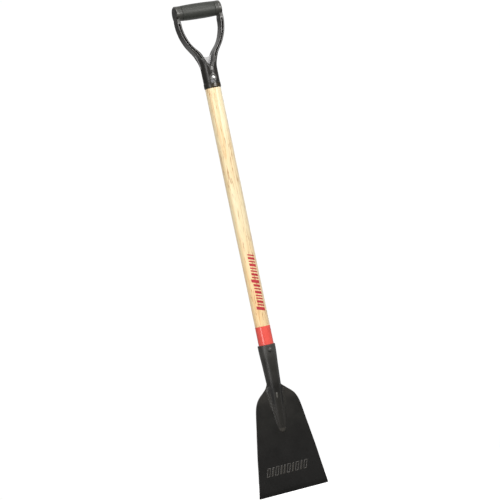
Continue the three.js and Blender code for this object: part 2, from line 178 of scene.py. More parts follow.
def meet(a, b, r):
    """Intersection with an edge rounded to r."""
    u, v = np.maximum(a + r, 0), np.maximum(b + r, 0)
    return np.minimum(np.maximum(a, b), -r) + np.sqrt(u * u + v * v)


def join(a, b, r):
    """Union with a fillet of r."""
    return -meet(-a, -b, r)


def cut(a, b, r):
    return meet(a, -b, r)


def step01(x, a, b):
    t = np.clip((x - a) / (b - a), 0, 1)
    return t * t * (3 - 2 * t)


def nets(f, lo, hi, h, rounds=3, relax=2):
    """Quad mesh of the surface f = 0: one vertex in each lattice cell that the surface crosses, then drawn onto it."""
    ax = [np.arange(lo[i], hi[i] + h, h) for i in range(3)]
    V = np.empty([len(a) for a in ax], np.float32)
    for i0 in range(0, len(ax[0]), 24):
        X, Y, Z = np.meshgrid(ax[0][i0:i0 + 24], ax[1], ax[2], indexing="ij")
        V[i0:i0 + 24] = f(X, Y, Z)
    S = V < 0
    n = np.zeros([s - 1 for s in S.shape], np.int8)
    corners = [(a, b, c) for a in (0, 1) for b in (0, 1) for c in (0, 1)]
    for a, b, c in corners:
        n += S[a:S.shape[0] - 1 + a, b:S.shape[1] - 1 + b, c:S.shape[2] - 1 + c]
    mask = (n > 0) & (n < 8)
    idx = np.full(mask.shape, -1, np.int64)
    I, J, K = np.nonzero(mask)
    idx[I, J, K] = np.arange(len(I))
    P, C = np.zeros((len(I), 3)), np.zeros(len(I))
    for a in corners:
        for k in range(3):
            if a[k]:
                continue
            b = list(a); b[k] = 1
            va = V[I + a[0], J + a[1], K + a[2]].astype(float)
            vb = V[I + b[0], J + b[1], K + b[2]].astype(float)
            m = (va < 0) != (vb < 0)
            t = np.where(m, va / np.where(m, va - vb, 1), 0)
            q = np.tile(np.array(a, float), (len(I), 1))
            q[:, k] = t
            P[m] += q[m]
            C[m] += 1
    P = (P / C[:, None] + np.c_[I, J, K]) * h + np.array([a[0] for a in ax])
    quads = []
    for k in range(3):
        l, m = (k + 1) % 3, (k + 2) % 3
        A = np.take(S, range(0, S.shape[k] - 1), k)
        B = np.take(S, range(1, S.shape[k]), k)
        E = np.argwhere(A != B)
        ok = (E[:, l] > 0) & (E[:, m] > 0) & (E[:, l] < S.shape[l] - 1) & (E[:, m] < S.shape[m] - 1)
        E = E[ok]
        low = A[tuple(E.T)]

        def cell(dl, dm):
            e = E.copy(); e[:, l] -= dl; e[:, m] -= dm
            return idx[tuple(e.T)]
        q = np.c_[cell(1, 1), cell(0, 1), cell(0, 0), cell(1, 0)]
        q[~low] = q[~low][:, ::-1]
        quads.append(q)
    Q = np.concatenate(quads)
    Q = Q[(Q >= 0).all(1)]

    def onto(p, times):
        e = 0.08 * h
        for _ in range(times):
            g = np.empty_like(p)
            for k in range(3):
                d = np.zeros(3); d[k] = e
                a, b = p + d, p - d
                g[:, k] = (f(a[:, 0], a[:, 1], a[:, 2]) - f(b[:, 0], b[:, 1], b[:, 2])) / (2 * e)
            v = f(p[:, 0], p[:, 1], p[:, 2])
            s = v / np.maximum((g * g).sum(1), 0.05)
            mv = g * s[:, None]
            ln = np.linalg.norm(mv, axis=1)
            mv *= np.minimum(1, 0.6 * h / np.maximum(ln, 1e-9))[:, None]
            p = p - mv
        return p
    P = onto(P, rounds)
    edges = np.concatenate([Q[:, [0, 1]], Q[:, [1, 2]], Q[:, [2, 3]], Q[:, [3, 0]]])
    deg = np.bincount(edges.ravel(), minlength=len(P)).astype(float)
    for _ in range(relax):
        acc = np.zeros_like(P)
        for k in range(3):
            acc[:, k] = np.bincount(edges[:, 0], P[edges[:, 1], k], len(P)) + np.bincount(edges[:, 1], P[edges[:, 0], k], len(P))
        P = onto(P + 0.6 * (acc / deg[:, None] - P), 2)
    return P, Q


def place(P):
    P = np.array(P, float)
    return np.c_[P[:, 0], P[:, 1], P[:, 2] - DROP] / 1000.0


def piece(name, P, faces, material, slot, *replaced, flat=None):
    me = bpy.data.meshes.new(name)
    me.from_pydata(place(P).tolist(), [], [list(map(int, q)) for q in faces])
    me.validate()
    me.update()
    me.shade_smooth()
    if flat is not None:
        me.set_sharp_from_angle(angle=math.radians(flat))
    o = bpy.data.objects.new(name, me)
    bpy.context.scene.collection.objects.link(o)
    me.materials.append(material)
    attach(o, "root")
    if replaced:
        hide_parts(*replaced)
    return o


def lathe(profile, seg, axis="z", centre=(0, 0, 0), ripple=None):
    """Closed body turned from (along, radius) pairs that start and end at radius 0, or close on themselves."""
    prof = np.array(profile, float)
    ring = bool(prof[0][1] > 1e-9)
    rows = prof if not ring else prof
    P, F, start = [], [], []
    a = np.arange(seg) / seg * 2 * np.pi
    for z, r in rows:
        start.append(len(P))
        if r < 1e-9:
            P.append((0, 0, z))
        else:
            rr = r if ripple is None else r + ripple(a, z)
            rr = np.broadcast_to(rr, a.shape)
            P.extend(zip(rr * np.cos(a), rr * np.sin(a), np.full(seg, z)))
    P = np.array(P, float)
    n = len(rows)
    for i in range(n if ring else n - 1):
        j = (i + 1) % n
        ra, rb = rows[i][1] > 1e-9, rows[j][1] > 1e-9
        sa, sb = start[i], start[j]
        for k in range(seg):
            k2 = (k + 1) % seg
            if ra and rb:
                F.append((sa + k, sa + k2, sb + k2, sb + k))
            elif ra:
                F.append((sa + k, sa + k2, sb))
            elif rb:
                F.append((sa, sb + k2, sb + k))
    if axis == "x":
        P = P[:, [2, 0, 1]]
    elif axis == "y":
        P = P[:, [1, 2, 0]]
    P = P + np.array(centre, float)
    # faces outward
    A, B, C = (P[[f[i] for f in F]] for i in range(3))
    vol = (A * np.cross(B, C)).sum()
    D = P[[f[3] if len(f) > 3 else f[2] for f in F]]
    vol += (A * np.cross(C, D)).sum()
    if vol < 0:
        F = [f[::-1] for f in F]
    return P, F


def arc(c, r, a0, a1, n):
    """Points (along, radius) on a corner of radius r."""
    t = np.radians(np.linspace(a0, a1, n))
    return [(c[0] + r * math.cos(x), c[1] + r * math.sin(x)) for x in t]


# ------------------------------------------------------------------ materials
def srgb(r, g, b):
    def f(c):
        c /= 255.0
        return c / 12.92 if c <= 0.04045 else ((c + 0.055) / 1.055) ** 2.4
    return (f(r), f(g), f(b), 1.0)


class Finish:
    def __init__(self, name, **sockets):
        self.m = bpy.data.materials.new(name)
        self.m.use_nodes = True
        self.t = self.m.node_tree
        self.t.nodes.clear()
        self.out = self.add("ShaderNodeOutputMaterial")
        self.b = self.add("ShaderNodeBsdfPrincipled")
        self.wire(self.b, "BSDF", self.out, "Surface")
        for k, v in sockets.items():
            self.b.inputs[k.replace("_", " ")].default_value = v
        self.tc = self.add("ShaderNodeTexCoord")

    def add(self, kind, **props):
        n = self.t.nodes.new(kind)
        for k, v in props.items():
            setattr(n, k, v)
        return n

    def wire(self, a, ao, b, bi):
        self.t.links.new(a.outputs[ao], b.inputs[bi])

    def stretch(self, scale, move=(0, 0, 0), src=None):
        n = self.add("ShaderNodeMapping")
        n.inputs["Scale"].default_value = scale
        n.inputs["Location"].default_value = move
        if src is None:
            self.wire(self.tc, "Object", n, "Vector")
        else:
            self.t.links.new(src, n.inputs["Vector"])
        return n.outputs["Vector"]

    def noise(self, vec, scale, detail=3, rough=0.55, distortion=0.0, out="Fac"):
        n = self.add("ShaderNodeTexNoise")
        n.inputs["Scale"].default_value = scale
        n.inputs["Detail"].default_value = detail
        n.inputs["Roughness"].default_value = rough
        n.inputs["Distortion"].default_value = distortion
        self.t.links.new(vec, n.inputs["Vector"])
        return n.outputs[out]

    def math(self, op, a, b=None, c=None, clamp=False):
        n = self.add("ShaderNodeMath", operation=op, use_clamp=clamp)
        for i, v in enumerate((a, b, c)):
            if v is None:
                continue
            if isinstance(v, (int, float)):
                n.inputs[i].default_value = v
            else:
                self.t.links.new(v, n.inputs[i])
        return n.outputs[0]

    def span(self, v, a, b, c=0.0, d=1.0, smooth=True):
        n = self.add("ShaderNodeMapRange", clamp=True)
        n.interpolation_type = "SMOOTHSTEP" if smooth else "LINEAR"
        for k, x in zip(("From Min", "From Max", "To Min", "To Max"), (a, b, c, d)):
            n.inputs[k].default_value = x
        self.t.links.new(v, n.inputs["Value"])
        return n.outputs["Result"]

    def ramp(self, v, stops, mode="LINEAR"):
        n = self.add("ShaderNodeValToRGB")
        n.color_ramp.interpolation = mode
        e = n.color_ramp.elements
        e[0].position, e[0].color = stops[0]
        e[1].position, e[1].color = stops[-1]
        for p, c in stops[1:-1]:
            x = e.new(p)
            x.color = c
        self.t.links.new(v, n.inputs["Fac"])
        return n.outputs["Color"]

    def mix(self, fac, a, b, mode="MIX"):
        n = self.add("ShaderNodeMix", data_type="RGBA", blend_type=mode)
        n.inputs["Factor"].default_value = 0.5
        if isinstance(fac, (int, float)):
            n.inputs["Factor"].default_value = fac
        else:
            self.t.links.new(fac, n.inputs["Factor"])
        for k, v in ((6, a), (7, b)):
            if isinstance(v, tuple):
                n.inputs[k].default_value = v
            else:
                self.t.links.new(v, n.inputs[k])
        return n.outputs[2]

    def axis(self, vec=None):
        n = self.add("ShaderNodeSeparateXYZ")
        if vec is None:
            self.wire(self.tc, "Object", n, "Vector")
        else:
            self.t.links.new(vec, n.inputs["Vector"])
        return n.outputs["X"], n.outputs["Y"], n.outputs["Z"]

    def color(self, c):
        self.t.links.new(c, self.b.inputs["Base Color"])

    def rough(self, r):
        self.t.links.new(r, self.b.inputs["Roughness"])

    def bump(self, h, distance, strength=1.0):
        n = self.add("ShaderNodeBump")
        n.inputs["Distance"].default_value = distance
        n.inputs["Strength"].default_value = strength
        self.t.links.new(h, n.inputs["Height"])
        self.t.links.new(n.outputs["Normal"], self.b.inputs["Normal"])


def enamel_finish():
    """Baked black enamel over rolled steel: slightly warm, satin, with orange peel and soft mill waviness."""
    f = Finish("black_enamel", Specular_IOR_Level=0.64)
    o = f.stretch((1, 1, 1))
    cloud = f.noise(o, 22, 4, 0.6)
    fine = f.noise(o, 260, 3, 0.6)
    peel = f.noise(o, 950, 2, 0.5)
    dust = f.noise(f.stretch((1, 1, 0.35)), 700, 4, 0.75)
    base = f.ramp(cloud, [(0.30, srgb(27, 26, 24)), (0.55, srgb(32, 31, 28)), (0.75, srgb(38, 36, 33))])
    speck = f.span(dust, 0.66, 0.78)
    x, y, z = f.axis()
    ax = f.math("ABSOLUTE", x)
    proud = f.math("ADD", y, f.math("MULTIPLY", z, 0.0425))     # under -0.0353 in front of the plate's face
    # painted light: the socket is painted paler than the blade, and paler again towards the mouth, standing in for the
    # light that is stronger near the top of the tool
    socket_painted_light = f.math("MULTIPLY", f.span(z, -0.898, -0.862), f.span(ax, 0.030, 0.026))
    tongue_highlight = f.math("MULTIPLY", f.span(proud, -0.0360, -0.0368), f.span(z, -0.905, -0.920))
    shoulder_highlight = f.math("MULTIPLY", f.span(z, -0.938, -0.918), f.span(ax, 0.017, 0.022))
    # painted shade: dark bands in the creases beside the tang, where shade falls
    crease_shade = f.math("MULTIPLY", f.math("MULTIPLY", f.span(ax, 0.0160, 0.0145), f.span(ax, 0.0080, 0.0110)), f.math("MULTIPLY", f.span(z, -0.945, -0.935), f.span(z, -0.903, -0.912)))
    mouth_painted_light = f.math("MULTIPLY", socket_painted_light, f.span(z, -0.832, -0.806))
    tang_flank_highlight = f.math("MULTIPLY", f.math("MULTIPLY", f.span(proud, -0.0355, -0.0362), f.span(z, -0.925, -0.960)), f.span(ax, 0.002, 0.005))
    tip_highlight = f.math("MULTIPLY", f.span(proud, -0.0354, -0.0359), f.span(z, -0.9965, -1.0005))
    # painted shade: the blade is painted darker towards the cutting edge, where the light falls off
    base = f.mix(f.span(z, -0.95, -1.07), base, f.mix(0.85, base, srgb(24, 23, 22)))
    # painted light on the socket, palest at the mouth
    base = f.mix(socket_painted_light, base, f.mix(f.span(cloud, 0.3, 0.7), srgb(45, 44, 41), srgb(53, 52, 49)))
    base = f.mix(mouth_painted_light, base, f.mix(f.span(cloud, 0.3, 0.7), srgb(59, 58, 56), srgb(71, 70, 67)))
    # painted highlight: the proud front of the upper tang is painted paler where the light catches it
    base = f.mix(f.math("MULTIPLY", tongue_highlight, 0.8), base, srgb(46, 45, 41))
    # painted highlight: the plate's shoulders beside the neck are painted paler
    base = f.mix(f.math("MULTIPLY", shoulder_highlight, 0.8), base, srgb(52, 50, 46))
    # painted highlight: the tang's front flanks, either side of its middle, are painted paler
    base = f.mix(f.math("MULTIPLY", tang_flank_highlight, 0.8), base, srgb(48, 46, 43))
    # painted highlight: the tang's tip is painted pale where it faces down towards the floor
    base = f.mix(f.math("MULTIPLY", tip_highlight, 0.9), base, srgb(70, 67, 62))
    # painted shade carried up beside the neck
    upper = f.math("MULTIPLY", f.math("MULTIPLY", f.span(ax, 0.0205, 0.0180), f.span(ax, 0.0080, 0.0110)), f.math("MULTIPLY", f.span(z, -0.918, -0.912), f.span(z, -0.896, -0.901)))
    crease_shade = f.math("MAXIMUM", crease_shade, upper)
    # painted shade in the creases beside the tang and the neck
    base = f.mix(crease_shade, base, srgb(20, 19, 18))
    # painted highlight: a paler band is painted along the weld beads beside the tang
    bead = f.math("MULTIPLY", f.math("MULTIPLY", f.span(ax, 0.0235, 0.0205), f.span(ax, 0.0130, 0.0160)), f.math("MULTIPLY", f.span(z, -0.955, -0.935), f.span(z, -0.906, -0.912)))
    base = f.mix(f.math("MULTIPLY", bead, 0.8), base, srgb(55, 53, 49))
    # painted highlight: a pale glint is painted on the small weld tick on the front of the tang
    tick_glint = f.math("MULTIPLY", f.math("MULTIPLY", f.span(x, -0.0045, -0.0036), f.span(x, -0.0008, -0.0017)), f.math("MULTIPLY", f.span(z, -0.9260, -0.9235), f.span(z, -0.9105, -0.9130)))
    base = f.mix(f.math("MULTIPLY", tick_glint, f.span(y, 0.000, -0.003)), base, srgb(112, 110, 104))
    f.color(f.mix(f.math("MULTIPLY", speck, 0.4), base, srgb(70, 67, 62)))
    r = f.span(cloud, 0.3, 0.7, 0.33, 0.42)
    r = f.math("ADD", r, f.math("MULTIPLY", crease_shade, 0.22))
    f.rough(f.math("ADD", r, f.span(fine, 0.3, 0.7, -0.03, 0.05)))
    h = f.math("ADD", f.math("MULTIPLY", peel, 0.45), f.math("MULTIPLY", fine, 0.9))
    f.bump(h, 0.00010, 0.55)
    return f.m


def ash_finish(name="lacquered_ash", lacquer=True):
    """Straight-grained ash: growth rings about a distant pith, open pores in the early wood, clear lacquer."""
    f = Finish(name, **({"Coat_Weight": 0.18, "Coat_Roughness": 0.20, "Specular_IOR_Level": 0.35, "Sheen_Weight": 0.55, "Sheen_Roughness": 0.5} if lacquer else {"Specular_IOR_Level": 0.3}))
    slow = f.noise(f.stretch((1, 1, 0.10)), 26, 2, 0.5)
    slow2 = f.noise(f.stretch((1, 1, 0.045), (0.3, 0.1, 0.2)), 90, 3, 0.55)
    x, y, z = f.axis()
    dx, dy = f.math("SUBTRACT", x, 0.030), f.math("SUBTRACT", y, 0.066)
    rr = f.math("SQRT", f.math("ADD", f.math("MULTIPLY", dx, dx), f.math("MULTIPLY", dy, dy)))
    rr = f.math("ADD", rr, f.math("MULTIPLY", f.math("SUBTRACT", slow, 0.5), 0.012))
    rr = f.math("ADD", rr, f.math("MULTIPLY", f.math("SUBTRACT", slow2, 0.5), 0.0035))
    rr = f.math("ADD", rr, f.math("MULTIPLY", z, 0.0045))
    ring = f.math("FRACT", f.math("DIVIDE", rr, 0.0032))
    late = f.ramp(ring, [(0.0, (0.0, 0.0, 0.0, 1)), (0.10, (0.10, 0.10, 0.10, 1)), (0.34, (0.62, 0.62, 0.62, 1)), (0.86, (1, 1, 1, 1)), (0.97, (0.55, 0.55, 0.55, 1)), (1.0, (0.0, 0.0, 0.0, 1))])
    fibre = f.noise(f.stretch((1, 1, 0.028), (0.7, 0.2, 0)), 900, 3, 0.6)
    pore = f.noise(f.stretch((1, 1, 0.050), (0.1, 0.5, 0)), 1500, 2, 0.5)
    tone = f.noise(f.stretch((1, 1, 0.16), (2.0, 0, 0)), 38, 2, 0.5)
    light, mid, dark = WOOD
    body = f.mix(late, mid, light)
    body = f.mix(f.span(tone, 0.32, 0.72, 0.0, 0.65), body, f.mix(late, dark, mid))
    body = f.mix(f.span(fibre, 0.35, 0.75, 0.0, 0.55), body, f.mix(0.35, mid, dark))
    early = f.math("SUBTRACT", 1.0, late)
    pits = f.math("MULTIPLY", f.span(pore, 0.60, 0.70), f.span(early, 0.15, 0.8, 0.12, 0.75))
    body = f.mix(pits, body, srgb(186, 146, 98))
    if lacquer:                     # dirt and shade caught in the joints at the two ends
        joint = f.math("MAXIMUM", f.span(z, -0.7945, -0.7948), f.span(z, -0.1699, -0.1696))
        body = f.mix(joint, body, srgb(52, 42, 32))
    fleck = f.noise(f.stretch((1, 1, 0.085), (0.4, 0.9, 0.3)), 430, 2, 0.5)
    streak = f.math("MULTIPLY", f.span(fleck, 0.57, 0.68), f.span(tone, 0.30, 0.62, 0.25, 0.95)) if lacquer else None
    if lacquer:
        body = f.mix(streak, body, srgb(176, 130, 80))
        upper = f.math("MULTIPLY", f.span(z, -0.42, -0.20), f.span(x, 0.004, -0.008))     # heartwood stripe up the left side
        lines = f.noise(f.stretch((1, 1, 0.05), (0.9, 0.2, 0.6)), 560, 2, 0.5)
        body = f.mix(f.math("MULTIPLY", upper, f.span(lines, 0.50, 0.64, 0.0, 0.5)), body, srgb(190, 140, 88))
        body = f.mix(f.span(z, -0.42, -0.72), body, f.mix(1.0, body, (1.15, 1.03, 0.92, 1.0), "MULTIPLY"))      # warmer towards the foot
        body = f.mix(f.span(x, 0.001, -0.017), body, f.mix(1.0, body, (1.22, 1.17, 1.10, 1.0), "MULTIPLY"))      # painted light: the left side is painted paler to stand in for light on that edge
    f.color(body)
    f.rough(f.span(fibre, 0.3, 0.7, 0.34, 0.46) if lacquer else f.span(fibre, 0.3, 0.7, 0.55, 0.75))
    h = f.math("SUBTRACT", f.math("MULTIPLY", fibre, 0.35), f.math("MULTIPLY", pits, 0.7))
    f.bump(h, 0.00007 if lacquer else 0.0003, 0.6)
    return f.m


def red_finish(name, deep, bright, rough=(0.20, 0.30)):
    f = Finish(name, Coat_Weight=0.5, Coat_Roughness=0.08, Specular_IOR_Level=0.4)
    along = f.noise(f.stretch((1, 1, 0.12)), 160, 3, 0.55)
    cloud = f.noise(f.stretch((1, 1, 1)), 60, 3, 0.5)
    f.color(f.mix(f.span(cloud, 0.3, 0.7), deep, bright))
    f.rough(f.span(along, 0.3, 0.7, *rough))
    f.bump(f.math("ADD", f.math("MULTIPLY", along, 0.8), f.noise(f.stretch((1, 1, 1)), 900, 2, 0.5)), 0.00005, 0.6)
    return f.m


def gloss_finish():
    """Moulded black polymer with a fairly glossy skin and faint flow marks."""
    f = Finish("black_polymer", Specular_IOR_Level=0.55)
    o = f.stretch((1, 1, 1))
    cloud = f.noise(o, 45, 3, 0.55, 0.6)
    grain = f.noise(o, 1400, 2, 0.5)
    sink = f.noise(o, 120, 2, 0.5)
    x, y, z = f.axis()
    ax, ay = f.math("ABSOLUTE", x), f.math("ABSOLUTE", y)
    web = f.math("MULTIPLY", f.span(ay, 0.0030, 0.0022), f.math("MULTIPLY", f.span(z, -0.121, -0.117), f.span(z, -0.086, -0.088)))
    boss = f.math("MULTIPLY", f.math("MULTIPLY", f.span(ax, 0.0410, 0.0415), f.span(ax, 0.0560, 0.0535)), f.span(z, -0.004, 0.000))
    tone = f.ramp(cloud, [(0.3, srgb(27, 26, 24)), (0.7, srgb(36, 34, 31))])
    tone = f.mix(web, tone, srgb(172, 172, 173))          # painted reflection: the thin web is painted pale grey in place of the light it reflects
    ring = f.math("SQRT", f.math("ADD", f.math("MULTIPLY", x, x), f.math("POWER", f.math("ADD", z, 0.1459), 2.0)))
    rivet_ring_highlight = f.math("MULTIPLY", f.span(ring, 0.0105, 0.0085), f.span(ay, 0.0150, 0.0180))
    tone = f.mix(f.math("MULTIPLY", rivet_ring_highlight, 0.8), tone, srgb(84, 83, 80))   # painted highlight: a paler ring is painted round the rivet
    # painted highlights: two pale patches are painted on the boss below the rivet
    for cx, cz, rad, c in ((0.0005, -0.1540, 0.0055, (104, 104, 104)), (-0.0048, -0.1532, 0.0038, (140, 140, 145))):
        off = f.math("SQRT", f.math("ADD", f.math("POWER", f.math("SUBTRACT", x, cx), 2.0), f.math("POWER", f.math("SUBTRACT", z, cz), 2.0)))
        highlight_patch = f.math("MULTIPLY", f.span(off, rad, rad * 0.55), f.span(y, -0.010, -0.014))
        tone = f.mix(f.math("MULTIPLY", highlight_patch, f.span(grain, 0.25, 0.55, 0.5, 0.95)), tone, srgb(*c))
    stain = f.math("MULTIPLY", f.span(z, -0.1560, -0.1650), f.span(x, -0.016, -0.004))
    tone = f.mix(f.math("MULTIPLY", stain, 0.7), tone, srgb(58, 46, 27))       # wood stain and lacquer caught at the foot
    rim = f.math("MULTIPLY", f.math("MULTIPLY", f.span(ax, 0.0500, 0.0515), f.span(ax, 0.0578, 0.0566)), f.span(z, 0.008, 0.014))
    tone = f.mix(f.math("MULTIPLY", rim, 0.85), tone, srgb(74, 74, 70))       # painted highlight: the upper rims of the eyes are painted paler
    boss = f.math("MULTIPLY", boss, f.math("SUBTRACT", 1.0, rim))
    f.color(f.mix(boss, tone, srgb(52, 53, 49)))       # and the bosses are textured like the sleeve
    rough = f.math("ADD", f.span(cloud, 0.3, 0.7, 0.27, 0.34), f.span(grain, 0.4, 0.7, 0.0, 0.05))
    rough = f.math("ADD", rough, f.math("MULTIPLY", web, 0.12))
    f.rough(f.math("ADD", rough, f.math("MULTIPLY", boss, 0.14)))
    f.bump(f.math("ADD", f.math("MULTIPLY", grain, 0.35), sink), 0.00006, 0.55)
    return f.m


def sleeve_finish():
    """Turned-on polymer sleeve: grey-black, spark-eroded texture, satin."""
    f = Finish("grip_polymer", Specular_IOR_Level=0.5)
    o = f.stretch((1, 1, 1))
    cloud = f.noise(o, 70, 3, 0.5)
    vor = f.add("ShaderNodeTexVoronoi", feature="SMOOTH_F1")
    vor.inputs["Scale"].default_value = 1500
    vor.inputs["Smoothness"].default_value = 0.6
    f.t.links.new(o, vor.inputs["Vector"])
    grain = f.noise(o, 2100, 2, 0.6)
    f.color(f.ramp(cloud, [(0.3, srgb(46, 48, 44)), (0.7, srgb(53, 55, 51))]))
    f.rough(f.span(grain, 0.3, 0.7, 0.46, 0.57))
    f.bump(f.math("ADD", vor.outputs["Distance"], f.math("MULTIPLY", grain, 0.5)), 0.00006, 0.35)
    return f.m


def steel_finish():
    f = Finish("plated_steel", Metallic=1.0)
    o = f.stretch((1, 1, 1))
    scuff = f.noise(o, 500, 4, 0.65)
    cloud = f.noise(o, 180, 3, 0.5)
    f.color(f.ramp(cloud, [(0.3, srgb(168, 169, 170)), (0.7, srgb(196, 196, 194))]))
    f.rough(f.span(scuff, 0.3, 0.7, 0.36, 0.52))
    f.bump(scuff, 0.00005, 0.5)
    return f.m


WOOD = (srgb(244, 236, 202), srgb(237, 217, 173), srgb(212, 175, 121))
ENAMEL = enamel_finish()
ASH = ash_finish()
CORE_ASH = ash_finish("core_wood", lacquer=False)
RED = red_finish("red_enamel", srgb(248, 91, 80), srgb(254, 104, 93))
PRINT_RED = red_finish("print_red", srgb(190, 44, 56), srgb(204, 60, 70), (0.35, 0.45))
GLOSS = gloss_finish()
SLEEVE = sleeve_finish()
STEEL = steel_finish()


# ------------------------------------------------------------------ blade
def blade():
    w_of = eased(BLADE_HALF, 1, 0.5, 2.2)
    tight = lambda z: np.where(z > 2, w_of(np.clip(z, EDGE_Z, 254)), table(BLADE_HALF, z))
    lift = stamped()
    zs = np.unique(np.round(np.r_[EDGE_Z + np.array([0.0, 0.25, 0.7, 1.4, 2.4, 3.6]), np.arange(0.5, 36, 1.5), np.arange(36, 70, 0.5),
                                  np.arange(70.5, 200, 1.6), np.arange(200, 254, 0.9), 253.4, 254.0], 3))
    R = 1.1
    nf, nb, ne = 300, 60, 6
    P, rows = [], []
    for z in zs:
        w = float(tight(z))
        up = z - EDGE_Z
        s = (float(tight(min(z + 0.4, 254))) - float(tight(max(z - 0.4, EDGE_Z)))) / 0.8
        # softened shear edge, kept the same width where the outline runs across
        rx = R * math.sqrt(1 + s * s)
        if up < 2.0:
            rx *= 0.45 + 0.275 * up
        yb = blade_y(z) + BLADE_T / 2
        yf = blade_y(z) - BLADE_T / 2
        if up < BEVEL_H + 1.5:        # ground bevel, blended into the face
            t = up / BEVEL_H
            y_bev = (blade_y(EDGE_Z) + 2 - EDGE_LAND) * (1 - t) + (blade_y(EDGE_Z + BEVEL_H) - 2) * t
            k = 0.35
            yf = 0.5 * (yf + y_bev + math.sqrt((yf - y_bev) ** 2 + k * k)) - k * 0.5 * step01(up, BEVEL_H + 1.5, BEVEL_H - 2)
        th = yb - yf
        r = min(R, th * 0.45)
        if up < 0.3:
            yf += 0.25
        if z > 253.2:
            w -= 0.6
        row = []
        xs = np.linspace(-1, 1, nf) * (w - rx)
        for x in xs:
            row.append((x, yf, z))
        for k in range(1, ne + 1):
            a = math.pi / 2 * k / ne
            row.append((w - rx + rx * math.sin(a), yf + r * (1 - math.cos(a)), z))
        for k in range(0, ne):
            a = math.pi / 2 * k / ne
            row.append((w - rx + rx * math.cos(a), yb - r * (1 - math.sin(a)), z))
        for x in np.linspace(1, -1, nb) * (w - rx):
            row.append((x, yb, z))
        for k in range(1, ne + 1):
            a = math.pi / 2 * k / ne
            row.append((-(w - rx + rx * math.sin(a)), yb - r * (1 - math.cos(a)), z))
        for k in range(0, ne):
            a = math.pi / 2 * k / ne
            row.append((-(w - rx + rx * math.cos(a)), yf + r * (1 - math.sin(a)), z))
        rows.append(len(P))
        P.extend(row)
    n = len(row)
    P = np.array(P)
    front = np.zeros(len(P), bool)
    for s in rows:
        front[s:s + nf] = True
    P[front, 1] -= lift(P[front, 0], P[front, 2])
    # mill waviness, a few hundredths
    P[:, 1] += 0.03 * np.sin(P[:, 0] * 0.09 + 0.6) * np.sin(P[:, 2] * 0.05 + 1.1)
    F = []
    for i in range(len(rows) - 1):
        a, b = rows[i], rows[i + 1]
        for k in range(n):
            k2 = (k + 1) % n
            F.append((a + k, a + k2, b + k2, b + k))
    # closing strips under the cutting edge and on the top
    def close(s, top):
        c = len(Pl)
        ring = Pl[s:s + n]
        F2 = []
        mid = []
        m = 40
        xs = np.linspace(ring[:nf][0][0], ring[:nf][-1][0], m)
        base = len(Pl)
        for x in xs:
            y = (ring[0][1] + ring[nf + 2 * ne][1]) / 2
            Pl.append((x, y, ring[0][2]))
        for j in range(nf - 1):
            q = min(m - 1, int(round(j / (nf - 1) * (m - 1))))
            q2 = min(m - 1, int(round((j + 1) / (nf - 1) * (m - 1))))
            F2.append((s + j + 1, s + j, base + q) if q == q2 else (s + j + 1, s + j, base + q, base + q2))
        off = nf + 2 * ne
        for j in range(nb - 1):
            q = m - 1 - min(m - 1, int(round(j / (nb - 1) * (m - 1))))
            q2 = m - 1 - min(m - 1, int(round((j + 1) / (nb - 1) * (m - 1))))
            F2.append((s + off + j + 1, s + off + j, base + q) if q == q2 else (s + off + j + 1, s + off + j, base + q, base + q2))
        for j in range(2 * ne + 0):
            F2.append((s + nf - 1 + j + 1, s + nf - 1 + j, base + m - 1))
        F2.append((s + nf + 2 * ne, s + nf + 2 * ne - 1, base + m - 1))
        o2 = nf + 2 * ne + nb - 1
        for j in range(2 * ne):
            F2.append((s + (o2 + j + 1) % n, s + o2 + j, base))
        F2.append((s, s + n - 1, base))
        if top:
            F2 = [f[::-1] for f in F2]
        seen, out = set(), []
        for f_ in F2:
            g = tuple(dict.fromkeys(f_))
            if len(g) > 2 and frozenset(g) not in seen:
                seen.add(frozenset(g)); out.append(g)
        return out
    Pl = [tuple(p) for p in P]
    F += close(rows[0], False)
    F += close(rows[-1], True)
    P = np.array(Pl)
    A, B, C = (P[[f[i] for f in F]] for i in range(3))
    D = P[[f[3] if len(f) > 3 else f[2] for f in F]]
    if ((A * np.cross(B, C)).sum() + (A * np.cross(C, D)).sum()) < 0:
        F = [f[::-1] for f in F]
    return piece("blade_plate_surface", P, F, ENAMEL, "black_enamel", "blade_plate", flat=50)


def stamped():
    """Raised generic mark on the front of the blade: a row of slanted bars."""
    bars = []
    x = -63.0
    widths = [9, 4.5, 9, 4.5, 4.5, 9, 4.5, 9, 4.5, 9]
    gaps = [4.2, 4.2, 4.2, 3.8, 4.2, 4.2, 4.2, 4.2, 4.2, 4.2]
    for w, g in zip(widths, gaps):
        bars.append((x, x + w))
        x += w + g
    z0, z1, slant = 42.0, 63.0, 0.30

    def lift(X, Z):
        u = X - (Z - z0) * slant
        best = np.full(np.shape(X), -1e9)
        for a, b in bars:
            d = np.minimum(np.minimum(u - a, b - u), np.minimum(Z - z0, z1 - Z))
            # hollow bars: an outline 2 mm wide on the broad ones
            if b - a > 6:
                d = np.minimum(d, 2.3 - d)
            best = np.maximum(best, d)
        return 0.85 * step01(best, -0.25, 0.55)
    return lift


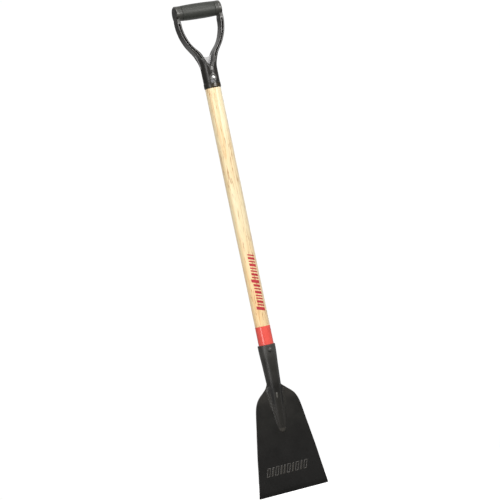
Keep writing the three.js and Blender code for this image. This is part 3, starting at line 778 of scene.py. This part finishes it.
# ------------------------------------------------------------------ shank
def shank():
    ring_rows = [(z, r) for z, r in SOCKET_OUT if z < 353] + [(360, 21.3)]
    ax_t = [(139.5, 1.2)] + [(z, w) for z, w, _, _ in TANG if z <= 240] + ring_rows
    af_t = [(139.5, 3.6)] + [(z, hf + 2) for z, _, hf, _ in TANG if z <= 240] + ring_rows
    ab_t = [(139.5, 0.5)] + [(z, hb + 2) for z, _, _, hb in TANG if z <= 240] + ring_rows
    axs, axf = eased(ax_t, 1, 0.5, 5.0), eased(ax_t, 1, 0.25, 0.7)
    afs, aff = eased(af_t, 1, 0.5, 5.0), eased(af_t, 1, 0.25, 0.9)
    ab = eased(ab_t, 1, 0.5, 2.2)
    outline = [(w, z) for z, w in BLADE_HALF]
    right = flow(outline, 2.0, 1.5)
    pts = np.r_[right, np.c_[-right[::-1, 0], right[::-1, 1]]]
    plate2d = Plan(pts, (-60, 120), (60, 262), 0.5)

    def tang(X, Y, Z):
        t = step01(Z, 150, 165)
        a = axs(Z) * t + axf(Z) * (1 - t)
        bf = afs(Z) * t + aff(Z) * (1 - t)
        y = Y - blade_y(Z)
        b = np.where(y < 0, bf, ab(Z))
        k0 = np.sqrt((X / a) ** 2 + (y / b) ** 2)
        k1 = np.sqrt((X / a ** 2) ** 2 + (y / b ** 2) ** 2)
        d = np.where(k1 > 1e-9, k0 * (k0 - 1) / np.maximum(k1, 1e-9), -np.minimum(a, b))
        return d

    def weld(Z):
        # leg of the fillet, with the ripples of the weld pool
        leg = np.interp(Z, [141, 150, 165, 180, 200, 214, 228, 242, 250, 256], [1.5, 2.4, 3.6, 4.8, 6.0, 7.0, 8.0, 8.5, 8.0, 7.0])
        return leg * (1 + 0.05 * np.sin(Z * 2 * np.pi / 3.6))

    def f(X, Y, Z):
        d = meet(tang(X, Y, Z), 140.2 - Z, 0.9)
        slab = np.abs(Y - blade_y(Z)) * 0.9991 - 1.86
        pl = meet(plate2d(X, Z), slab, 0.9)
        leg = weld(Z) + np.where(X < 0, 2.0, -3.6) * np.interp(Z, [232, 250], [0.0, 1.0]) * np.clip(np.abs(X) / 6 - 1, 0, 1)
        u = join(d, pl, leg)
        bx = np.interp(Z, [146, 155, 168, 182, 198, 210, 220, 231, 240, 248], [6.6, 8.6, 10.2, 11.5, 13.6, 14.6, 15.5, 17.5, 19.0, 18.6])
        br = np.interp(Z, [145, 150, 158, 182, 210, 231, 244, 252], [-3.0, -1.2, 1.3, 2.4, 3.0, 3.3, 3.2, 1.0]) * (1 + 0.06 * np.sin(Z * 2 * np.pi / 3.6))
        bead = np.maximum(np.hypot(np.abs(X) - bx, Y - (blade_y(Z) - 1.6)) - br, np.where(X < 0, Z - 246, Z - 243))
        u = np.maximum(u, d - (leg + 1.2))
        u = join(u, bead, 2.2)
        front = blade_y(Z) - (afs(Z))
        tick = np.sqrt((X + 2.6) ** 2 + (Y - front - 0.35) ** 2 + np.maximum(np.abs(Z - 231.0) - 4.5, 0) ** 2) - 1.45
        u = join(u, tick, 0.7)
        # socket: rim at the mouth, bore for the shaft
        r = np.hypot(X, Y - bore_y(Z))
        u = meet(u, Z - SOCKET_TOP, 0.7)
        bore_r = 13.0 + (18.0 - 13.0) * (Z - 267.5) / (352 - 267.5)
        bore = np.maximum((r - bore_r) * 0.998, 267.5 - Z)
        u = cut(u, bore, 0.45)
        return u
    P, Q = nets(f, (-38, -23.5, 136), (38, 25.5, 355.5), 0.8)
    return piece("shank_surface", P, Q, ENAMEL, "black_enamel", "socket_shank", "weld_left", "weld_right", "weld_back")


# ------------------------------------------------------------------ yoke
def yoke():
    def closed(t, sigma, top=None):
        right = flow([(w, z) for z, w in t], 2.0, sigma)
        return np.r_[right, np.c_[-right[::-1, 0], right[::-1, 1]]]
    out2 = Plan(closed(YOKE_OUT, 1.6), (-66, 972), (66, 1200), 0.5)
    inner_right = flow([(w, z) for z, w in YOKE_IN], 1.0, 1.1)
    in2 = Plan(np.r_[inner_right, np.c_[-inner_right[::-1, 0], inner_right[::-1, 1]]], (-66, 972), (66, 1200), 0.5)
    a0 = -math.asin((GRIP_Z - 1154.4) / EYE_R)
    eye = [(EYE_R * math.cos(a), GRIP_Z + EYE_R * math.sin(a)) for a in np.linspace(a0, math.pi / 2, 30)]
    side = flow([(w, z) for z, w in YOKE_DEPTH] + eye, 1.5, 1.2)
    dep2 = Plan(np.r_[side, np.c_[-side[::-1, 0], side[::-1, 1]]], (-30, 972), (30, 1200), 0.5)
    ferr = Plan(np.array([(r, z) for z, r in FERRULE]), (-2, 972), (40, 1045), 0.4)
    web_pts = np.array([(-19, 1031), (19, 1031), (17, 1061.5), (12, 1058.8), (6, 1056.6), (0, 1055.2), (-6, 1056.6), (-12, 1058.8), (-17, 1061.5)])
    web2 = Plan(web_pts, (-64, 1000), (64, 1090), 0.5)
    zs = [1054, 1058, 1064, 1070, 1076, 1082, 1088, 1096, 1104, 1112, 1120, 1128, 1136, 1141]
    mid = [(0.52 * table(YOKE_OUT, z) + 0.48 * table(YOKE_IN, z), z) for z in zs]
    groove = Plan(flow(mid, 2.0, 2.0), (-2, 1030), (64, 1165), 0.5, closed=False)
    # teardrop boss round the rivet
    r0, top = 9.0, 17.0
    th = math.acos(r0 / top)
    tear = [(r0 * math.sin(a), FERRULE_RIVET_Z + r0 * math.cos(a)) for a in np.linspace(th, 2 * math.pi - th, 60)]
    tear = np.array([(0.0, FERRULE_RIVET_Z + top)] + tear)
    tear2 = Plan(tear, (-24, 980), (24, 1032), 0.4)
    rnd = eased(YOKE_ROUND, 1, 0.5, 2.0)

    def f(X, Y, Z):
        AX, AY = np.abs(X), np.abs(Y)
        r = np.hypot(X, Y)
        edge = 1.8 + 2.4 * step01(Z, 1156, 1172) + 2.6 * step01(Z, 1075, 1045)
        body = meet(out2(X, Z), dep2(Y, Z), edge)
        slope = np.interp(Z, [1000, 1031, 1045, 1060, 1074, 1082, 1090], [0.0, 0.1, 0.42, 0.55, 0.8, 3.0, 3.0])
        env = (r - rnd(Z)) / np.sqrt(1 + slope * slope)
        body = np.maximum(body, env)
        body = cut(body, in2(X, Z), 1.4 + 0.5 * step01(Z, 1066, 1090))
        body = np.minimum(body, ferr(r, Z))
        # boss round the rivet, raised a little more than a millimetre
        lift = meet(tear2(X, Z), r - 21.15, 0.9)
        lift = np.maximum(lift, 8.0 - AY)
        body = join(body, lift, 0.8)
        seat = np.maximum(np.hypot(X, Z - FERRULE_RIVET_Z) - 6.15, 19.75 - AY)
        body = cut(body, seat, 0.35)
        # web between the roots of the arms
        w = meet(web2(X, Z), AY - 1.9, 1.1)
        body = join(body, w, 2.6)
        # grooves
        g = meet(groove(AX, Z) - 0.9, 4.8 - AY, 0.6)
        body = cut(body, g, 0.9)
        # bosses inside the eyes
        ra = np.hypot(Y, Z - GRIP_Z)
        boss = meet(ra - BOSS_R, np.maximum(42.0 - AX, AX - 57.0), 0.9)
        body = join(body, boss, 0.6)
        # seat of the end caps and the hole for the rod
        body = cut(body, np.maximum(ra - 7.6, 56.6 - AX), 0.4)
        body = np.maximum(body, 4.6 - ra)
        # tenon bore
        bore = np.maximum(r - 16.35, Z - 1026.5)
        body = cut(body, bore, 0.4)
        return body
    P, Q = nets(f, (-61.2, -22.8, 978.6), (61.2, 22.8, 1189), 0.79)
    return piece("yoke_surface", P, Q, GLOSS, "black_polymer", "yoke")


# ------------------------------------------------------------------ turned pieces
def shaft():
    r_of = eased(SHAFT_OUT, 1, 1.0, 12.0)
    zs = np.r_[398.7, np.linspace(399.4, 979, 250), 979.5]
    outer = [(z, float(r_of(z))) for z in zs]
    lo_z, slope = 269.0, (18.0 - 13.0) / (352 - 267.5)
    taper = lambda z: 13.0 + slope * (z - 267.5) - 0.35
    prof = [(lo_z, 0), (lo_z, taper(lo_z) - 1.0), (lo_z + 1.0, taper(lo_z + 1))]
    prof += [(z, taper(z)) for z in np.linspace(275, 346.6, 8)] + [(346.7, 17.25), (398.6, 17.25)]
    prof += [(398.7, outer[0][1] - 0.25)] + [(399.0, outer[0][1])] + outer[1:-1] + [(979.5, outer[-1][1]), (979.55, 16.0), (1025, 16.0), (1026, 15.0), (1026, 0)]

    def hand(a, z):
        # sanding leaves the round a few hundredths out
        if z < 399.2 or z > 979:
            return 0 * a
        return 0.06 * np.sin(2 * a + z * 0.013 + 0.7) + 0.035 * np.sin(3 * a - z * 0.021) + 0.03 * np.sin(z * 0.045)
    P, F = lathe(prof, 112, ripple=hand)
    P[:, 1] += bore_y(P[:, 2])
    return piece("shaft_surface", P, F, ASH, "lacquered_ash", "shaft", flat=40)


def band():
    z0, z1, ro, ri = BAND
    prof = [(z0, ri), *arc((z0 + 0.5, ro - 0.5), 0.5, 180, 90, 5), *[(z, ro) for z in np.linspace(z0 + 3, z1 - 3, 14)],
            *arc((z1 - 0.5, ro - 0.5), 0.5, 90, 0, 5), (z1, ri)]
    P, F = lathe(prof, 112)
    return piece("red_band_surface", P, F, RED, "red_enamel", "red_band", flat=40)


def printed():
    """Generic printed mark: slanted red bars down the front of the shaft, laid on its curve."""
    r_of = eased(SHAFT_OUT, 1, 1.0, 12.0)
    P, F = [], []
    z = 437.0
    runs = [(7.6, 21.0), (3.2, 16.5), (5.6, 16.5), (3.2, 16.5), (3.2, 16.5), (6.4, 16.5), (3.2, 16.5), (5.6, 16.5), (7.6, 20.0),
            (3.2, 16.5), (5.6, 16.5), (3.2, 16.5), (3.2, 16.5), (6.4, 16.5), (3.2, 16.5), (5.6, 16.5), (3.2, 16.5)]
    gap = 3.5
    centre = math.radians(4.5)
    for length, tall in runs:
        nu, nz = 14, 8
        top = 16.5 / 2
        u = np.linspace(-(tall - top), top, nu)         # across the print, to the right
        v = np.linspace(0, length, nz)
        base = len(P)
        for layer in (0.10, -0.25):
            for q in v:
                for x in u:
                    zz = z + q - 0.32 * x
                    r = float(r_of(zz)) + layer + 0.06
                    a = centre + x / 18.2
                    P.append((r * math.sin(a), -r * math.cos(a), zz))
        n = nu * nz
        for j in range(nz - 1):
            for i in range(nu - 1):
                a = base + j * nu + i
                F.append((a, a + 1, a + nu + 1, a + nu))
                b = a + n
                F.append((b, b + nu, b + nu + 1, b + 1))
        rim = [base + i for i in range(nu)] + [base + j * nu + nu - 1 for j in range(1, nz)] + \
              [base + (nz - 1) * nu + i for i in range(nu - 2, -1, -1)] + [base + j * nu for j in range(nz - 2, 0, -1)]
        for a, b in zip(rim, rim[1:] + rim[:1]):
            F.append((a, a + n, b + n, b))
        z += length + gap
    return piece("shaft_print", np.array(P), F, PRINT_RED, "red_enamel", flat=40)


def rivet(name, z, material, slot, seat, seat_back, *nodes):
    """Domed head on the front, closed head on the back."""
    reach, tail = seat + 3.3, seat_back + 3.7
    prof = [(-reach, 0)]
    for t in np.linspace(0.12, 1, 9):
        prof.append((-reach + (reach - seat - 1.0) * (1 - math.sqrt(1 - (t * 0.985) ** 2)), 5.35 * t))
    prof += [(-seat - 0.75, 5.5), (-seat - 0.1, 5.5), (-seat + 0.3, 5.2), (-seat + 0.3, 2.45), (seat_back + 1.3, 2.45), (seat_back + 1.75, 3.9)]
    for t in np.linspace(1, 0.1, 7):
        prof.append((seat_back + 2.1 + (tail - seat_back - 2.1) * math.sqrt(1 - (t * 0.97) ** 2), 4.2 * t))
    prof.append((tail, 0))
    P, F = lathe(prof, 56, axis="y", centre=(0, 0, z))
    return piece(name, P, F, material, slot, *nodes, flat=45)


def burr(name, z, material, slot, seat, *nodes):
    prof = [(seat, 2.8), (seat, 6.0), *arc((seat + 0.9, 5.6), 0.6, 150, 60, 5)[1:], (seat + 1.5, 5.2), (seat + 1.5, 2.8)]
    P, F = lathe(prof, 56, axis="y", centre=(0, 0, z))
    return piece(name, P, F, material, slot, *nodes, flat=45)


def sleeve():
    L, R, B = 41.7, SLEEVE_R, 11.4
    E = R - 1.15
    prof = [(-L, B), *arc((-L + 1.1, E - 1.1), 1.1, 180, 90, 7), *[(x, R - 0.05 - 1.1 * (abs(x) / L) ** 2.5) for x in np.linspace(-L + 3, L - 3, 44)],
            *arc((L - 1.1, E - 1.1), 1.1, 90, 0, 7), (L, B)]
    P, F = lathe(prof, 128, axis="x", centre=(0, 0, GRIP_Z), ripple=lambda a, x: -0.04 * (1 + np.sin(3 * a + x * 0.05)))
    return piece("grip_sleeve_surface", P, F, SLEEVE, "grip_polymer", "grip_sleeve", flat=40)


def core_and_rod():
    prof = [(-41.5, 4.7), (-41.5, 10.4), (-40.9, 11.0), *[(x, 11.0) for x in np.linspace(-36, 36, 10)], (40.9, 11.0), (41.5, 10.4), (41.5, 4.7)]
    P, F = lathe(prof, 48, axis="x", centre=(0, 0, GRIP_Z))
    piece("grip_core_surface", P, F, CORE_ASH, "core_wood", "grip_core", flat=40)
    prof = [(-56.4, 0), (-56.4, 3.5), (-55.6, 4.3), *[(x, 4.3) for x in np.linspace(-48, 48, 12)], (55.6, 4.3), (56.4, 3.5), (56.4, 0)]
    P, F = lathe(prof, 40, axis="x", centre=(0, 0, GRIP_Z))
    piece("grip_rod_surface", P, F, STEEL, "plated_steel", "grip_rod", flat=40)
    for name, sx in (("grip_cap_left", -1), ("grip_cap_right", 1)):
        prof = [(56.8, 0), (56.8, 6.9), (57.0, 7.15), *arc((57.95, 6.55), 0.65, 90, 10, 6)]
        prof += [(58.62, 5.4), (58.64, 3.0), (58.64, 0)]
        prof = [(sx * x, r) for x, r in prof]
        P, F = lathe(prof, 56, axis="x", centre=(0, 0, GRIP_Z))
        piece(name + "_surface", P, F, GLOSS, "black_polymer", name, flat=45)


blade()
shank()
yoke()
shaft()
band()
printed()
rivet("socket_rivet_surface", SOCKET_RIVET_Z, ENAMEL, "black_enamel", 20.0, 22.1, "socket_rivet")
burr("socket_rivet_burr_surface", SOCKET_RIVET_Z, ENAMEL, "black_enamel", 22.2, "socket_rivet_burr")
rivet("ferrule_rivet_surface", FERRULE_RIVET_Z, STEEL, "plated_steel", 19.75, 19.75, "ferrule_rivet")
burr("ferrule_rivet_burr_surface", FERRULE_RIVET_Z, STEEL, "plated_steel", 19.85, "ferrule_rivet_burr")
sleeve()
core_and_rod()


# ------------------------------------------------------------------ studio
def world():
    """White sweep to the camera; the light it gives is a dim room, brighter low down behind the tool."""
    w = bpy.data.worlds.new("studio")
    bpy.context.scene.world = w
    w.use_nodes = True
    t = w.node_tree
    t.nodes.clear()

    def node(kind, **props):
        n = t.nodes.new(kind)
        for k, v in props.items():
            setattr(n, k, v)
        return n

    def span(src, a, b, c, d):
        n = node("ShaderNodeMapRange", interpolation_type="SMOOTHSTEP")
        for k, v in zip(("From Min", "From Max", "To Min", "To Max"), (a, b, c, d)):
            n.inputs[k].default_value = v
        t.links.new(src, n.inputs["Value"])
        return n.outputs["Result"]

    def calc(op, a, b):
        n = node("ShaderNodeMath", operation=op)
        for i, v in enumerate((a, b)):
            if isinstance(v, (int, float)):
                n.inputs[i].default_value = v
            else:
                t.links.new(v, n.inputs[i])
        return n.outputs[0]
    out = node("ShaderNodeOutputWorld")
    tc = node("ShaderNodeTexCoord")
    dot = node("ShaderNodeVectorMath", operation="DOT_PRODUCT")
    dot.inputs[1].default_value = (0.342, 0.940, 0.0)
    t.links.new(tc.outputs["Generated"], dot.inputs[0])
    xyz = node("ShaderNodeSeparateXYZ")
    t.links.new(tc.outputs["Generated"], xyz.inputs[0])
    behind = span(dot.outputs["Value"], -0.15, 0.45, 0.0, 1.0)
    below = span(calc("MULTIPLY", xyz.outputs["Z"], -1.0), 0.0, 0.42, 0.0, 1.0)
    above = span(xyz.outputs["Z"], 0.10, 0.50, 0.0, 1.0)
    low = calc("ADD", calc("MULTIPLY", calc("MULTIPLY", behind, below), ROOM_LOW), calc("MULTIPLY", calc("MULTIPLY", behind, above), ROOM_HIGH))
    level = calc("ADD", calc("ADD", ROOM_FRONT, calc("MULTIPLY", behind, ROOM_BACK - ROOM_FRONT)), low)
    room = node("ShaderNodeBackground")
    room.inputs["Color"].default_value = (1.0, 0.995, 0.985, 1)
    t.links.new(level, room.inputs["Strength"])
    sweep = node("ShaderNodeBackground")
    sweep.inputs["Color"].default_value = (1, 1, 1, 1)
    sweep.inputs["Strength"].default_value = 1.02
    lp = node("ShaderNodeLightPath")
    mix = node("ShaderNodeMixShader")
    t.links.new(lp.outputs["Is Camera Ray"], mix.inputs["Fac"])
    t.links.new(room.outputs[0], mix.inputs[1])
    t.links.new(sweep.outputs[0], mix.inputs[2])
    t.links.new(mix.outputs[0], out.inputs["Surface"])


def softbox(name, azimuth, height, distance, size, power, aim_z, color=(1, 1, 1)):
    d = bpy.data.lights.new(name, "AREA")
    d.shape = "RECTANGLE"
    d.size, d.size_y = size
    d.energy = power
    d.color = color
    o = bpy.data.objects.new(name, d)
    bpy.context.scene.collection.objects.link(o)
    a = math.radians(azimuth)
    o.location = (math.sin(a) * distance, -math.cos(a) * distance, height)
    o.rotation_euler = (Vector((0, 0, aim_z)) - o.location).to_track_quat("-Z", "Y").to_euler()
    return o


ROOM_FRONT, ROOM_BACK, ROOM_LOW, ROOM_HIGH = 0.17, 0.17, 0.75, 0.7
world()
softbox("key_softbox", 24, 0.11, 1.6, (0.62, 0.34), 15.2, 0.05, (1.0, 0.985, 0.965))
softbox("left_strip", -53, -0.45, 2.0, (0.5, 1.7), 15, -0.45, (1.0, 0.99, 0.98))
softbox("overhead_softbox", -6, 1.5, 1.6, (1.6, 1.2), 42, -0.45, (1.0, 0.99, 0.98))

# floor: a plain pale disc under the hanging tool
bpy.ops.mesh.primitive_circle_add(vertices=96, radius=0.62, fill_type="NGON", location=(0, 0, -1.20))
floor = bpy.context.object
floor.name = "floor"
fm = bpy.data.materials.new("floor_white")
fm.use_nodes = True
ft = fm.node_tree
ft.nodes.clear()
fo = ft.nodes.new("ShaderNodeOutputMaterial")
fd = ft.nodes.new("ShaderNodeBsdfDiffuse"); fd.inputs["Color"].default_value = (0.85, 0.85, 0.85, 1)
fe = ft.nodes.new("ShaderNodeEmission"); fe.inputs["Strength"].default_value = 0.6
fa = ft.nodes.new("ShaderNodeAddShader")
fg = ft.nodes.new("ShaderNodeBsdfDiffuse"); fg.inputs["Color"].default_value = (0.16, 0.16, 0.16, 1)
fl = ft.nodes.new("ShaderNodeLightPath")
fx = ft.nodes.new("ShaderNodeMixShader")
ft.links.new(fd.outputs[0], fa.inputs[0]); ft.links.new(fe.outputs[0], fa.inputs[1])
ft.links.new(fl.outputs["Is Camera Ray"], fx.inputs["Fac"])
ft.links.new(fg.outputs[0], fx.inputs[1]); ft.links.new(fa.outputs[0], fx.inputs[2])
ft.links.new(fx.outputs[0], fo.inputs["Surface"])
floor.data.materials.append(fm)

# camera: level with the middle of the tool, 20 degrees to its left, rolled so that the tool leans
AZ, ROLL, DIST = math.radians(-20.0), math.radians(11.75), 4.1
back = Vector((math.sin(AZ), -math.cos(AZ), 0))
right = Vector((math.cos(AZ), math.sin(AZ), 0))
up = Vector((0, 0, 1))
target = Vector((0, 0, -0.5659)) + right * 0.0081
cx = right * math.cos(ROLL) - up * math.sin(ROLL)
cy = right * math.sin(ROLL) + up * math.cos(ROLL)
cam_data = bpy.data.cameras.new("camera")
cam_data.sensor_width = 36
cam_data.lens = 123.5
cam_data.clip_end = 50
cam = bpy.data.objects.new("camera", cam_data)
bpy.context.scene.collection.objects.link(cam)
m = Matrix((cx, cy, back)).transposed().to_4x4()
m.translation = target + back * DIST
cam.matrix_world = m
bpy.context.scene.camera = cam
bpy.context.scene.view_settings.view_transform = "Standard"
bpy.context.scene.view_settings.look = "None"
